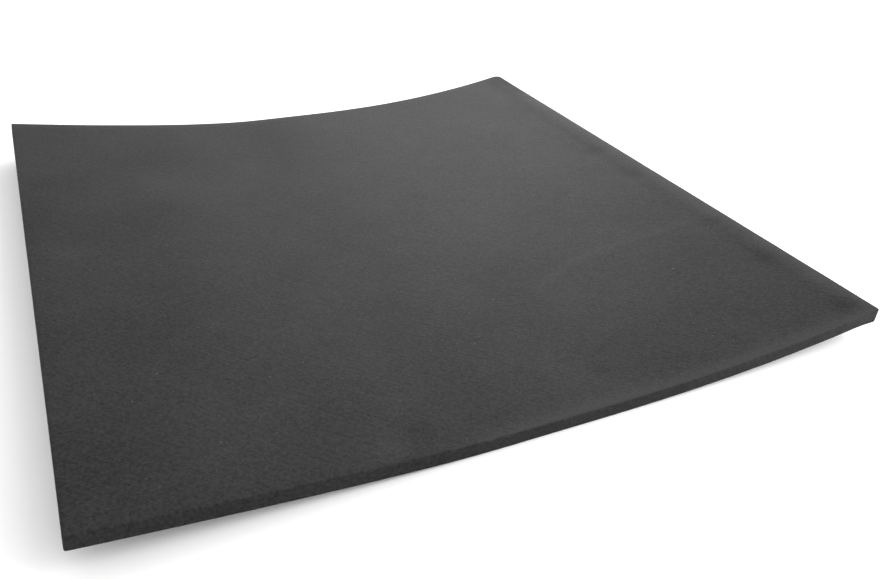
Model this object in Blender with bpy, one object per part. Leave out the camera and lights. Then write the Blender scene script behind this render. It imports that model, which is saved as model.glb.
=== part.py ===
"""Seedling heat mat: a square padded mat with a sewn fabric cover, a foil-backed heating wire inside
and a lead inlet in its back wall. It has been rolled for storage, so both sides still curl up.

Every layer is drawn flat, with x to the right, y to the back and h upwards from the underside, and is
then bent to the curl that the whole mat has. Units are metres and +Z is up."""

import math

import bmesh
import bpy
from mathutils import Matrix, Vector

# Outer size. WIDTH is measured across the curled mat, which is 0.508 m wide when pressed flat.
WIDTH = 0.506
LENGTH = 0.527
THICKNESS = 0.0090
TIGHT_RADIUS = 0.0004
CORNER_STEPS = 4
CORNER_RADIUS = 0.0020
BACK_RIGHT_RADIUS = 0.0070

# Curl that the mat keeps from being rolled up: a flat middle strip, rising to both side edges.
FLAT_HALF_WIDTH = 0.030
LIFT_FRONT = 0.0160
LIFT_BACK = 0.0220
CURL_POWER_LEFT = 1.30
CURL_POWER_RIGHT = 2.20
CURL_SOFTNESS = 0.22
CURL_COLUMNS = 9
CURL_ROWS = 4

# Layers, from the underside up
GAP = 0.0003
FABRIC = 0.0008
HEM_WIDTH = 0.0136
SEAM_WIDTH = 0.0012
FLANGE_WIDTH = 0.0122
FOAM_TOP = 0.0039
FOIL_THICKNESS = 0.0002
FILM_THICKNESS = 0.0002
FELT_THICKNESS = 0.0007
BOTTOM_ROUNDING = 0.0012
TOP_ROUNDING = 0.0014
CORE_INSET = FABRIC + GAP
HEATER_INSET = 0.0060
THREAD_DIAMETER = 0.0006
THREAD_RECESS = 0.0002
THREAD_STEP = 0.025

# Heating wire: straight runs from front to back, joined by U-turns
WIRE_DIAMETER = 0.0012
RUN_COUNT = 22
RUN_PITCH = 0.022
RUN_END_INSET = 0.016
FRONT_RETURN_INSET = 0.010
TURN_STEPS = 6
PORT_RUN = 18
STEP_ALONG_RUN = 0.13
STEP_ACROSS_CURL = 0.024

# Junction box in the foam, and the lead inlet in the back wall behind it
BOX_WIDTH = 0.044
BOX_DEPTH = 0.040
BOX_WALL = 0.0012
BOX_SKIN = 0.0007
BOX_BOTTOM = 0.0013
BOX_TOP = 0.0066
BOX_BACK_INSET = 0.0162
NOTCH_CLEARANCE = 0.0015
WIRE_DROP = 0.0155
PORT_WIDTH = 0.0018
OVERCUT = 0.001
BOX_MID_HEIGHT = (BOX_BOTTOM + BOX_TOP) / 2
INLET_WIDTH = 0.015
INLET_HEIGHT = 0.0040
INLET_FLANGE_WIDTH = 0.021
INLET_FLANGE_HEIGHT = 0.0048
INNER_FLANGE_HEIGHT = 0.0040
INLET_FLANGE_THICKNESS = 0.0018
INLET_MID_HEIGHT = 0.0043
LEAD_BORE_WIDTH = 0.0066
LEAD_BORE_HEIGHT = 0.0024

# Splices and over-temperature fuse in the junction box
CRIMP_OUTER = 0.00225
CRIMP_BORE = 0.00180
CRIMP_LENGTH = 0.0070
SLEEVE_OUTER = 0.0033
SLEEVE_BORE = 0.00285
SLEEVE_LENGTH = 0.0100
FUSE_WIDTH = 0.0042
FUSE_LENGTH = 0.0068
FUSE_THICKNESS = 0.0020
FUSE_SLEEVE_WALL = 0.00025
FUSE_SLEEVE_MARGIN = 0.001
FUSE_LEAD_DIAMETER = 0.0006
FUSE_LEAD_LENGTH = 0.0060
SPLICE_OFFSET = 0.0125

# Dip of the heating wire into the box: (part of WIRE_DROP ahead of the box, part of the height left)
WIRE_DIP = [(0.87, 0.96), (0.68, 0.75), (0.45, 0.35), (0.23, 0.08), (0.06, 0.0)]

# The inlet's flange stands proud of the back wall, so the mat sits half that distance forward.
INLET_PROUD = GAP + INLET_FLANGE_THICKNESS
MAT_SHIFT = -INLET_PROUD / 2
RUN_START = -RUN_PITCH * (RUN_COUNT - 1) / 2
JUNCTION_X = RUN_START + RUN_PITCH * (PORT_RUN + 0.5)
JUNCTION_Y = LENGTH / 2 - BOX_BACK_INSET - BOX_DEPTH / 2


def clear_scene():
    for item in list(bpy.data.objects):
        bpy.data.objects.remove(item, do_unlink=True)


def material(name, colour, roughness, metallic=0.0):
    made = bpy.data.materials.new(name)
    made.use_nodes = True
    shader = made.node_tree.nodes["Principled BSDF"]
    shader.inputs["Base Color"].default_value = (*colour, 1.0)
    shader.inputs["Roughness"].default_value = roughness
    shader.inputs["Metallic"].default_value = metallic
    return made


# --- The curl ---------------------------------------------------------------------------------------


def curl_shape(reach, power):
    """0 at the flat strip and 1 at the side edge, leaving the flat strip without a kink."""
    low = CURL_SOFTNESS ** power
    high = (1 + CURL_SOFTNESS ** 2) ** (power / 2)
    return ((reach ** 2 + CURL_SOFTNESS ** 2) ** (power / 2) - low) / (high - low)


def lift(x, y):
    """Height of the underside above the bench at a flat position."""
    reach = max(abs(x) - FLAT_HALF_WIDTH, 0) / (WIDTH / 2 - FLAT_HALF_WIDTH)
    power = CURL_POWER_LEFT if x < 0 else CURL_POWER_RIGHT
    edge_lift = LIFT_FRONT + (LIFT_BACK - LIFT_FRONT) * (y / LENGTH + 0.5)
    return edge_lift * curl_shape(reach, power)


def bend(point):
    """Move a point of the flat drawing to its place on the curled mat, square to its surface."""
    x, y, h = point
    step = 0.0001
    slope = (lift(x + step, y) - lift(x - step, y)) / (2 * step)
    scale = math.sqrt(1 + slope ** 2)
    return Vector((x - h * slope / scale, y + MAT_SHIFT, lift(x, y) + h / scale))


def bend_mesh(mesh_data):
    """Cut the flat mesh into columns and rows that can follow the curl, then bend every vertex."""
    columns = [side * (FLAT_HALF_WIDTH + (WIDTH / 2 - FLAT_HALF_WIDTH) * step / CURL_COLUMNS)
               for side in (-1, 1) for step in range(CURL_COLUMNS)]
    rows = [LENGTH * (step / CURL_ROWS - 0.5) for step in range(1, CURL_ROWS)]
    cuts = [(Vector((x, 0, 0)), Vector((1, 0, 0))) for x in columns]
    cuts += [(Vector((0, y, 0)), Vector((0, 1, 0))) for y in rows]
    for place, direction in cuts:
        geometry = mesh_data.verts[:] + mesh_data.edges[:] + mesh_data.faces[:]
        bmesh.ops.bisect_plane(mesh_data, geom=geometry, dist=1e-7, plane_co=place, plane_no=direction)
    bmesh.ops.triangulate(mesh_data, faces=mesh_data.faces[:])
    for vertex in mesh_data.verts:
        vertex.co = bend(vertex.co)


# --- Ways to make a piece ---------------------------------------------------------------------------


def add_object(name, mesh_data, finish, smooth_angle=40):
    bmesh.ops.recalc_face_normals(mesh_data, faces=mesh_data.faces[:])
    mesh = bpy.data.meshes.new(name)
    mesh_data.to_mesh(mesh)
    mesh_data.free()
    mesh.shade_smooth()
    mesh.set_sharp_from_angle(angle=math.radians(smooth_angle))
    mesh.materials.append(finish)
    piece = bpy.data.objects.new(name, mesh)
    bpy.context.collection.objects.link(piece)
    return piece


def combine(piece, others, operation):
    """Apply one Boolean for each of the others and remove them."""
    for other in others:
        modifier = piece.modifiers.new("combine", "BOOLEAN")
        modifier.operation = operation
        modifier.object = other
    bpy.context.view_layer.update()
    evaluated = piece.evaluated_get(bpy.context.evaluated_depsgraph_get())
    result = bpy.data.meshes.new_from_object(evaluated)
    piece.modifiers.clear()
    piece.data = result
    for other in others:
        bpy.data.objects.remove(other, do_unlink=True)


def cut(piece, cutters):
    combine(piece, cutters, "DIFFERENCE")


def join(piece, others):
    combine(piece, others, "UNION")


def bend_object(piece):
    mesh_data = bmesh.new()
    mesh_data.from_mesh(piece.data)
    bend_mesh(mesh_data)
    mesh_data.to_mesh(piece.data)
    mesh_data.free()
    piece.data.shade_smooth()
    piece.data.set_sharp_from_angle(angle=math.radians(40))


def block(name, low, high, finish):
    mesh_data = bmesh.new()
    size = Vector(high) - Vector(low)
    place = Matrix.Translation((Vector(high) + Vector(low)) / 2) @ Matrix.Diagonal((*size, 1))
    bmesh.ops.create_cube(mesh_data, size=1, matrix=place)
    return add_object(name, mesh_data, finish)


def notch_points(inset):
    """Stepped notch in the back edge: narrow round the inlet, wide round the junction box."""
    narrow = INLET_FLANGE_WIDTH / 2 + NOTCH_CLEARANCE
    wide = BOX_WIDTH / 2 + NOTCH_CLEARANCE
    edge = LENGTH / 2 - inset
    step = LENGTH / 2 - BOX_BACK_INSET + NOTCH_CLEARANCE / 2
    end = JUNCTION_Y - BOX_DEPTH / 2 - WIRE_DROP
    right_half = [(narrow, edge), (narrow, step), (wide, step), (wide, end)]
    left_half = [(-x, y) for x, y in reversed(right_half)]
    return [(JUNCTION_X + x, y) for x, y in right_half + left_half]


def outline(inset, notched=False):
    """Rounded rectangle this far inside the mat's edge, anticlockwise from the front right corner."""
    points = []
    for quarter, (side, end) in enumerate([(1, -1), (1, 1), (-1, 1), (-1, -1)]):
        worn = BACK_RIGHT_RADIUS if quarter == 1 else CORNER_RADIUS
        radius = max(worn - inset, TIGHT_RADIUS)
        half_width = WIDTH / 2 - inset - radius
        half_length = LENGTH / 2 - inset - radius
        for step in range(CORNER_STEPS + 1):
            angle = math.radians(-90 + 90 * (quarter + step / CORNER_STEPS))
            points.append((side * half_width + radius * math.cos(angle),
                           end * half_length + radius * math.sin(angle)))
        if quarter == 1 and notched:
            points += notch_points(inset)
    return points


def ringed_solid(name, rings, finish, notched=False):
    """Closed solid whose outline passes through the given (inset, height) rings and is capped."""
    mesh_data = bmesh.new()
    rows = [[mesh_data.verts.new((x, y, height)) for x, y in outline(inset, notched)]
            for inset, height in rings]
    for lower, upper in zip(rows, rows[1:]):
        for i in range(len(lower)):
            mesh_data.faces.new((lower[i - 1], lower[i], upper[i], upper[i - 1]))
    for row in (rows[0], rows[-1]):
        mesh_data.faces.new(row)
    return add_object(name, mesh_data, finish)


def layer(name, inset, bottom, thickness, finish):
    piece = ringed_solid(name, [(inset, bottom), (inset, bottom + thickness)], finish, notched=True)
    bend_object(piece)
    return piece


def tube(name, points, diameter, finish, closed=False, sides=1):
    """Round strand along points that are already in place."""
    curve = bpy.data.curves.new(name, "CURVE")
    curve.dimensions = "3D"
    curve.bevel_depth = diameter / 2
    curve.bevel_resolution = sides
    curve.use_fill_caps = True
    spline = curve.splines.new("POLY")
    spline.points.add(len(points) - 1)
    for knot, place in zip(spline.points, points):
        knot.co = (*place, 1)
    spline.use_cyclic_u = closed
    curve.materials.append(finish)
    strand = bpy.data.objects.new(name, curve)
    bpy.context.collection.objects.link(strand)
    return strand


def seat(piece):
    """Stand a rigid piece, drawn round the junction box, on the curled mat at the box's place."""
    centre = bend((JUNCTION_X, JUNCTION_Y, 0))
    across = (bend((JUNCTION_X + 0.001, JUNCTION_Y, 0)) - centre).normalized()
    along = (bend((JUNCTION_X, JUNCTION_Y + 0.001, 0)) - centre).normalized()
    upward = across.cross(along).normalized()
    along = upward.cross(across)
    turn = Matrix((across, along, upward)).transposed()
    piece.rotation_euler = turn.to_euler()
    piece.location = centre


# --- Covers -----------------------------------------------------------------------------------------


def corner_arc(radius, start, steps):
    """Quarter round between a wall and a flat face, as (inset, distance past the wall's end)."""
    angles = [math.radians(start + 90 * step / steps) for step in range(steps + 1)]
    return [(radius * (1 - math.cos(angle)), radius * math.sin(angle)) for angle in angles]


def make_top_cover(finish):
    """Face, side walls and turned-under hem, all one piece of cloth, open below."""
    low_round = [(inset, BOTTOM_ROUNDING - drop) for inset, drop in corner_arc(BOTTOM_ROUNDING, 0, 2)]
    high_round = [(inset, THICKNESS - TOP_ROUNDING + rise) for inset, rise in corner_arc(TOP_ROUNDING, 0, 4)]
    inner_low = BOTTOM_ROUNDING - FABRIC
    inner_high = TOP_ROUNDING - FABRIC
    inner_low_round = [(FABRIC + inset, BOTTOM_ROUNDING - drop) for inset, drop in corner_arc(inner_low, 0, 2)]
    inner_high_round = [(FABRIC + inset, THICKNESS - TOP_ROUNDING + rise)
                        for inset, rise in corner_arc(inner_high, 0, 4)]
    inside = list(reversed(inner_high_round)) + inner_low_round + [(HEM_WIDTH, FABRIC)]
    outside = [(HEM_WIDTH, 0)] + list(reversed(low_round)) + high_round
    cover = ringed_solid("top_cover", inside + outside, finish)
    half_slot = INLET_WIDTH / 2 + GAP
    rise = INLET_HEIGHT / 2 + GAP
    low = (JUNCTION_X - half_slot, LENGTH / 2 - FABRIC - OVERCUT, INLET_MID_HEIGHT - rise)
    high = (JUNCTION_X + half_slot, LENGTH / 2 + OVERCUT, INLET_MID_HEIGHT + rise)
    slot = block("slot", low, high, finish)
    cut(cover, [slot])
    bend_object(cover)


def make_bottom_cover(finish):
    """Coated panel that fills the opening in the hem, with a stepped-up flange lapped over the hem."""
    shoulder = HEM_WIDTH + SEAM_WIDTH
    flange_inset = shoulder - FLANGE_WIDTH
    flange_bottom = FABRIC + GAP
    rings = [(shoulder, 0), (shoulder, flange_bottom), (flange_inset, flange_bottom),
             (flange_inset, flange_bottom + FABRIC), (shoulder + FABRIC, flange_bottom + FABRIC),
             (shoulder + FABRIC, FABRIC)]
    bend_object(ringed_solid("bottom_cover", rings, finish))


def make_closing_thread(finish):
    """Thread that closes the joint between the hem and the bottom cover, all the way round."""
    flat = []
    corners = outline(HEM_WIDTH + SEAM_WIDTH / 2)
    for start, end in zip(corners, corners[1:] + corners[:1]):
        pieces = max(1, round(math.dist(start, end) / THREAD_STEP))
        flat += [(start[0] + (end[0] - start[0]) * i / pieces, start[1] + (end[1] - start[1]) * i / pieces)
                 for i in range(pieces)]
    height = THREAD_DIAMETER / 2 + THREAD_RECESS
    tube("closing_thread", [bend((x, y, height)) for x, y in flat], THREAD_DIAMETER, finish, closed=True)


# --- Insulation and heater --------------------------------------------------------------------------


def make_foam_core(finish):
    """Closed-cell foam slab that fills the mat under the heater, stepped up over the bottom flange."""
    step_inset = HEM_WIDTH + SEAM_WIDTH + FABRIC + GAP
    flange_top = 2 * FABRIC + 2 * GAP
    rings = [(step_inset, FABRIC + GAP), (step_inset, flange_top), (CORE_INSET, flange_top),
             (CORE_INSET, FOAM_TOP)]
    bend_object(ringed_solid("foam_core", rings, finish, notched=True))


def make_heater_layers(foil, film, felt):
    foil_bottom = FOAM_TOP + GAP
    lower_bottom = foil_bottom + FOIL_THICKNESS + GAP
    wire_middle = lower_bottom + FILM_THICKNESS + GAP + WIRE_DIAMETER / 2
    upper_bottom = wire_middle + WIRE_DIAMETER / 2 + GAP
    felt_bottom = THICKNESS - FABRIC - GAP - FELT_THICKNESS
    layer("foil_reflector", CORE_INSET, foil_bottom, FOIL_THICKNESS, foil)
    layer("heater_film_lower", HEATER_INSET, lower_bottom, FILM_THICKNESS, film)
    layer("heater_film_upper", HEATER_INSET, upper_bottom, FILM_THICKNESS, film)
    bend_object(ringed_solid("felt_layer", [(TOP_ROUNDING, felt_bottom),
                                            (TOP_ROUNDING, felt_bottom + FELT_THICKNESS)], felt))
    return wire_middle


def turn_points(start_x, end_x, y, direction):
    """Half circle from one run to the next. direction is 1 at the back and -1 at the front."""
    middle = (start_x + end_x) / 2
    radius = (end_x - start_x) / 2
    angles = [math.pi * step / TURN_STEPS for step in range(TURN_STEPS + 1)]
    return [(middle - radius * math.cos(angle), y + direction * abs(radius) * math.sin(angle))
            for angle in angles]


def heating_route():
    """From the left splice forward and back over the left part, along the front edge, and home."""
    back = LENGTH / 2 - RUN_END_INSET - RUN_PITCH / 2
    front = -LENGTH / 2 + RUN_END_INSET + FRONT_RETURN_INSET + RUN_PITCH / 2
    margin = -LENGTH / 2 + HEATER_INSET + FRONT_RETURN_INSET
    mouth = JUNCTION_Y - BOX_DEPTH / 2 - WIRE_DROP
    runs = [RUN_START + RUN_PITCH * number for number in range(RUN_COUNT)]
    route = [(runs[PORT_RUN], mouth)]
    for number in range(PORT_RUN, 0, -1):
        at_front = (PORT_RUN - number) % 2 == 0
        place, direction = (front, -1) if at_front else (back, 1)
        route += turn_points(runs[number], runs[number - 1], place, direction)
    corner = RUN_PITCH / 4
    left_corner = [(0, corner), (corner / 3, corner / 3), (corner, 0)]
    route += [(runs[0] + across, margin + along) for across, along in left_corner]
    route += [(runs[-1] - across, margin + along) for across, along in reversed(left_corner)]
    for number in range(RUN_COUNT - 1, PORT_RUN + 1, -1):
        at_back = (RUN_COUNT - 1 - number) % 2 == 0
        place, direction = (back, 1) if at_back else (front, -1)
        route += turn_points(runs[number], runs[number - 1], place, direction)
    route.append((runs[PORT_RUN + 1], mouth))
    return route


def make_heating_wire(finish, height):
    """Insulated resistance wire. Its ends dip into the junction box and stop in their crimps."""
    route = heating_route()
    dense = []
    for start, end in zip(route, route[1:]):
        pieces = max(1, round(math.dist(start, end) / STEP_ALONG_RUN))
        if math.isclose(start[1], end[1]):
            pieces = max(1, round(math.dist(start, end) / STEP_ACROSS_CURL))
        dense += [(start[0] + (end[0] - start[0]) * i / pieces, start[1] + (end[1] - start[1]) * i / pieces,
                   height) for i in range(pieces)]
    dense.append((*route[-1], height))
    crimp_y = JUNCTION_Y - SPLICE_OFFSET
    tails = []
    for x in (route[0][0], route[-1][0]):
        tail = [(x, JUNCTION_Y - BOX_DEPTH / 2 - ahead * WIRE_DROP,
                 BOX_MID_HEIGHT + (height - BOX_MID_HEIGHT) * rise) for ahead, rise in WIRE_DIP]
        tail.append((x, crimp_y, BOX_MID_HEIGHT))
        tails.append(tail)
    flat = list(reversed(tails[0])) + dense + tails[1]
    tube("heating_wire", [bend(point) for point in flat], WIRE_DIAMETER, finish)


# --- Junction box and inlet -------------------------------------------------------------------------


def make_junction_tray(finish):
    half_width = BOX_WIDTH / 2
    half_depth = BOX_DEPTH / 2
    rim = BOX_TOP - BOX_SKIN - GAP
    tray = block("junction_tray", (-half_width, -half_depth, BOX_BOTTOM), (half_width, half_depth, rim),
                 finish)
    room = block("room", (BOX_WALL - half_width, BOX_WALL - half_depth, BOX_BOTTOM + BOX_SKIN),
                 (half_width - BOX_WALL, half_depth - BOX_WALL, BOX_TOP), finish)
    cutters = [room]
    low = BOX_MID_HEIGHT - PORT_WIDTH / 2
    for side in (-1, 1):
        x = side * RUN_PITCH / 2
        cutters.append(block("port", (x - PORT_WIDTH / 2, -half_depth - OVERCUT, low),
                             (x + PORT_WIDTH / 2, OVERCUT + BOX_WALL - half_depth, BOX_TOP), finish))
    cutters.append(block("mouth", (-LEAD_BORE_WIDTH / 2, half_depth - BOX_WALL - OVERCUT,
                                   INLET_MID_HEIGHT - LEAD_BORE_HEIGHT / 2),
                         (LEAD_BORE_WIDTH / 2, half_depth + OVERCUT, BOX_TOP), finish))
    cut(tray, cutters)
    seat(tray)


def make_junction_lid(finish):
    """Lid with a lip that drops inside the tray's walls."""
    half_width = BOX_WIDTH / 2
    half_depth = BOX_DEPTH / 2
    low = BOX_TOP - BOX_SKIN
    lid = block("junction_lid", (-half_width, -half_depth, low), (half_width, half_depth, BOX_TOP), finish)
    outer = BOX_WALL + GAP
    inner = outer + BOX_SKIN
    lip = block("lip", (outer - half_width, outer - half_depth, low - BOX_SKIN),
                (half_width - outer, half_depth - outer, low + BOX_SKIN / 2), finish)
    room = block("room", (inner - half_width, inner - half_depth, low - 2 * BOX_SKIN),
                 (half_width - inner, half_depth - inner, low), finish)
    cut(lip, [room])
    join(lid, [lip])
    seat(lid)


def make_lead_inlet(finish):
    """Moulded bush through the back wall, gripping its cloth between two flanges, with a flat lead bore."""
    wall = LENGTH / 2 - JUNCTION_Y
    parts = [("inlet_neck", INLET_WIDTH, INLET_HEIGHT, BOX_DEPTH / 2 + GAP, wall + INLET_PROUD),
             ("outer_flange", INLET_FLANGE_WIDTH, INLET_FLANGE_HEIGHT, wall + GAP, wall + INLET_PROUD),
             ("inner_flange", INLET_FLANGE_WIDTH, INNER_FLANGE_HEIGHT,
              wall - FABRIC - GAP - INLET_FLANGE_THICKNESS, wall - FABRIC - GAP)]
    solids = [block(name, (-width / 2, start, INLET_MID_HEIGHT - height / 2),
                    (width / 2, end, INLET_MID_HEIGHT + height / 2), finish)
              for name, width, height, start, end in parts]
    bush = solids[0]
    join(bush, solids[1:])
    bore_low = INLET_MID_HEIGHT - LEAD_BORE_HEIGHT / 2
    bore = block("bore", (-LEAD_BORE_WIDTH / 2, BOX_DEPTH / 2 - OVERCUT, bore_low),
                 (LEAD_BORE_WIDTH / 2, wall + INLET_PROUD + OVERCUT, bore_low + LEAD_BORE_HEIGHT), finish)
    cut(bush, [bore])
    bush.name = "lead_inlet"
    seat(bush)


def make_sleeve(name, x, y, outer, bore, length, finish):
    """Plain round tube lying along y, centred on its place."""
    mesh_data = bmesh.new()
    profile = [(bore / 2, -length / 2), (outer / 2, -length / 2), (outer / 2, length / 2),
               (bore / 2, length / 2)]
    ring = [mesh_data.verts.new((radius, along, 0)) for radius, along in profile]
    edges = [mesh_data.edges.new((ring[i - 1], ring[i])) for i in range(len(ring))]
    bmesh.ops.spin(mesh_data, geom=ring + edges, axis=(0, 1, 0), cent=(0, 0, 0), angle=2 * math.pi,
                   steps=16, use_merge=True)
    bmesh.ops.remove_doubles(mesh_data, verts=mesh_data.verts[:], dist=1e-6)
    bmesh.ops.translate(mesh_data, verts=mesh_data.verts[:], vec=(x, y, BOX_MID_HEIGHT))
    seat(add_object(name, mesh_data, finish))


def make_thermal_fuse(finish, x, y):
    """Flat fuse body with a lead at each end, one solid."""
    low = (x - FUSE_WIDTH / 2, y - FUSE_LENGTH / 2, BOX_MID_HEIGHT - FUSE_THICKNESS / 2)
    high = (x + FUSE_WIDTH / 2, y + FUSE_LENGTH / 2, BOX_MID_HEIGHT + FUSE_THICKNESS / 2)
    fuse = block("thermal_fuse", low, high, finish)
    leads = []
    half = FUSE_LEAD_DIAMETER / 2
    for name, start, end in (("front_lead", low[1] - FUSE_LEAD_LENGTH, low[1] + half),
                             ("back_lead", high[1] - half, high[1] + FUSE_LEAD_LENGTH)):
        leads.append(block(name, (x - half, start, BOX_MID_HEIGHT - half),
                           (x + half, end, BOX_MID_HEIGHT + half), finish))
    join(fuse, leads)
    seat(fuse)


def make_fuse_sleeve(finish, x, y):
    """Flat insulating sleeve open at both ends, round the fuse body."""
    half_width = FUSE_WIDTH / 2 + GAP
    half_height = FUSE_THICKNESS / 2 + GAP
    half_length = FUSE_LENGTH / 2 + FUSE_SLEEVE_MARGIN
    wall = FUSE_SLEEVE_WALL
    outer_width = half_width + wall
    outer_height = half_height + wall
    sleeve = block("fuse_sleeve", (x - outer_width, y - half_length, BOX_MID_HEIGHT - outer_height),
                   (x + outer_width, y + half_length, BOX_MID_HEIGHT + outer_height), finish)
    hollow = block("hollow", (x - half_width, y - half_length - OVERCUT, BOX_MID_HEIGHT - half_height),
                   (x + half_width, y + half_length + OVERCUT, BOX_MID_HEIGHT + half_height), finish)
    cut(sleeve, [hollow])
    seat(sleeve)


def make_splices(metal, sleeving, ceramic):
    """Live side: heating wire, crimp, fuse, crimp. Neutral side: heating wire, crimp."""
    live = -RUN_PITCH / 2
    neutral = RUN_PITCH / 2
    for name, x, y in (("heater_live", live, -SPLICE_OFFSET), ("supply_live", live, SPLICE_OFFSET),
                       ("heater_neutral", neutral, -SPLICE_OFFSET)):
        make_sleeve("crimp_" + name, x, y, CRIMP_OUTER, CRIMP_BORE, CRIMP_LENGTH, metal)
        make_sleeve("sleeve_" + name, x, y, SLEEVE_OUTER, SLEEVE_BORE, SLEEVE_LENGTH, sleeving)
    make_thermal_fuse(ceramic, live, 0)
    make_fuse_sleeve(sleeving, live, 0)


def build():
    clear_scene()
    top_fabric = material("charcoal_twill", (0.030, 0.030, 0.031), 0.85)
    backing = material("coated_backing", (0.032, 0.032, 0.033), 0.65)
    thread = material("sewing_thread", (0.060, 0.060, 0.062), 0.70)
    felt = material("needle_felt", (0.35, 0.35, 0.34), 0.95)
    film = material("heater_film", (0.75, 0.73, 0.68), 0.35)
    foil = material("aluminium_foil", (0.86, 0.87, 0.88), 0.22, 1.0)
    foam = material("closed_cell_foam", (0.24, 0.24, 0.25), 0.90)
    wire = material("silicone_wire", (0.55, 0.10, 0.06), 0.45)
    moulding = material("black_moulding", (0.035, 0.035, 0.036), 0.50)
    copper = material("tinned_copper", (0.72, 0.70, 0.66), 0.30, 1.0)
    sleeving = material("glass_sleeving", (0.70, 0.66, 0.55), 0.60)
    ceramic = material("fuse_body", (0.62, 0.60, 0.56), 0.40)

    make_top_cover(top_fabric)
    make_bottom_cover(backing)
    make_closing_thread(thread)
    make_foam_core(foam)
    wire_height = make_heater_layers(foil, film, felt)
    make_heating_wire(wire, wire_height)
    make_junction_tray(moulding)
    make_junction_lid(moulding)
    make_lead_inlet(moulding)
    make_splices(copper, sleeving, ceramic)


build()
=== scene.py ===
import math

import bmesh
import bpy
from mathutils import Matrix, Vector, noise


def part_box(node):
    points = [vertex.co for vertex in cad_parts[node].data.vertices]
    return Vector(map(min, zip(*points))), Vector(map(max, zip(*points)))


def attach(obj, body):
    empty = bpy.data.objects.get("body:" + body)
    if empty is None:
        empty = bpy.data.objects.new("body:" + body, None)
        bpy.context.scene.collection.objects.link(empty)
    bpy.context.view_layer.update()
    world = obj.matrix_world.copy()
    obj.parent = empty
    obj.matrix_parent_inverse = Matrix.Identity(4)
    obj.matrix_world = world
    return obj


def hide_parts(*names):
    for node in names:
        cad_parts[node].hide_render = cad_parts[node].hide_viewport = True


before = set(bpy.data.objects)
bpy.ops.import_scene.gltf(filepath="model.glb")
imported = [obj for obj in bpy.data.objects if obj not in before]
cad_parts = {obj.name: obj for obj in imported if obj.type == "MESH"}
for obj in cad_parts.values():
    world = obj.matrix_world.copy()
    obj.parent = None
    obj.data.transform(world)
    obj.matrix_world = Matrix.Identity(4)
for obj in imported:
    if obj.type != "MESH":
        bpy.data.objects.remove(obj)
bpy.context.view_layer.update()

# Camera: stands at the front left of the bench and looks across the mat from a little above, held
# slightly off level.
CAMERA_PLACE = (-0.2264, -0.5603, 0.3084)
camera_data = bpy.data.cameras.new("camera")
camera_data.lens = 34.20
camera_data.sensor_width = 36
camera = bpy.data.objects.new("camera", camera_data)
bpy.context.collection.objects.link(camera)
heading = Matrix.Rotation(math.radians(-27.14), 4, "Z")
pitch = Matrix.Rotation(math.radians(90 - 30.76), 4, "X")
roll = Matrix.Rotation(math.radians(2.98), 4, "Z")
camera.matrix_world = Matrix.Translation(CAMERA_PLACE) @ heading @ pitch @ roll
bpy.context.scene.camera = camera

# ---------------------------------------------------------------------------------------------------
# Fabric cover. Charcoal polyester twill over the whole mat: its face, its side walls and a hem turned
# under are one piece of cloth, bonded to the wadding along a line just inside the edge. The mat was
# stored rolled, so its sides still curl up.

MAT_WIDTH = 0.506
cover_low, cover_high = (Vector(corner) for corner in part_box("top_cover"))
MAT_LENGTH = cover_high.y - cover_low.y
MAT_MIDDLE_Y = (cover_high.y + cover_low.y) / 2
THICKNESS = 0.009
CLOTH = 0.0008
SQUARE_CORNER = 0.0013
WORN_CORNER = 0.0070
TIGHT_RADIUS = 0.0004
TOP_ROUNDING = 0.0009
BOTTOM_ROUNDING = 0.0012
HEM_WIDTH = 0.0136
COVER_CELL = 0.005
LOWEST_RELIEF = -0.00055
SLOT_LOW = 0.0020
SLOT_HIGH = 0.0066
SLOT_HALF_WIDTH = 0.0078
INLET_X = 0.176
FLAT_STRIP = 0.030
CURL_POWER_LEFT = 1.30
CURL_POWER_RIGHT = 2.20
CURL_START = 0.22
SIDE_LIFT = 0.0160
BACK_EXTRA_LIFT = 0.0060


def lift(x, y):
    """Height of the underside above the bench: none over the middle strip, then curling up."""
    reach = max(abs(x) - FLAT_STRIP, 0) / (MAT_WIDTH / 2 - FLAT_STRIP)
    power = CURL_POWER_LEFT if x < 0 else CURL_POWER_RIGHT
    low = CURL_START ** power
    high = (1 + CURL_START ** 2) ** (power / 2)
    shape = ((reach ** 2 + CURL_START ** 2) ** (power / 2) - low) / (high - low)
    return (SIDE_LIFT + BACK_EXTRA_LIFT * (y / MAT_LENGTH + 0.5)) * shape


def bend(flat):
    """Where a point of the flat mat, at a height above its underside, lies on the curled mat."""
    x, y, height = flat
    step = 0.0001
    slope = (lift(x + step, y) - lift(x - step, y)) / (2 * step)
    stretch = math.sqrt(1 + slope ** 2)
    return Vector((x - height * slope / stretch, y + MAT_MIDDLE_Y, lift(x, y) + height / stretch))


def corner_radius(inset, right, back):
    """Only the back right corner has worn round. The others are still square."""
    outer = WORN_CORNER if right and back else SQUARE_CORNER
    return max(outer - inset, TIGHT_RADIUS)


def core_of(point, inset):
    """The nearest point of the rectangle that the corners of an outline turn about, and their radius."""
    radius = corner_radius(inset, point.x > 0, point.y > 0)
    half_x = MAT_WIDTH / 2 - inset - radius
    half_y = MAT_LENGTH / 2 - inset - radius
    return Vector((max(-half_x, min(half_x, point.x)), max(-half_y, min(half_y, point.y)))), radius


def cut_across(panel, place, normal):
    geometry = panel.verts[:] + panel.edges[:] + panel.faces[:]
    bmesh.ops.bisect_plane(panel, geom=geometry, plane_co=place, plane_no=normal, dist=1e-6)


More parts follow.
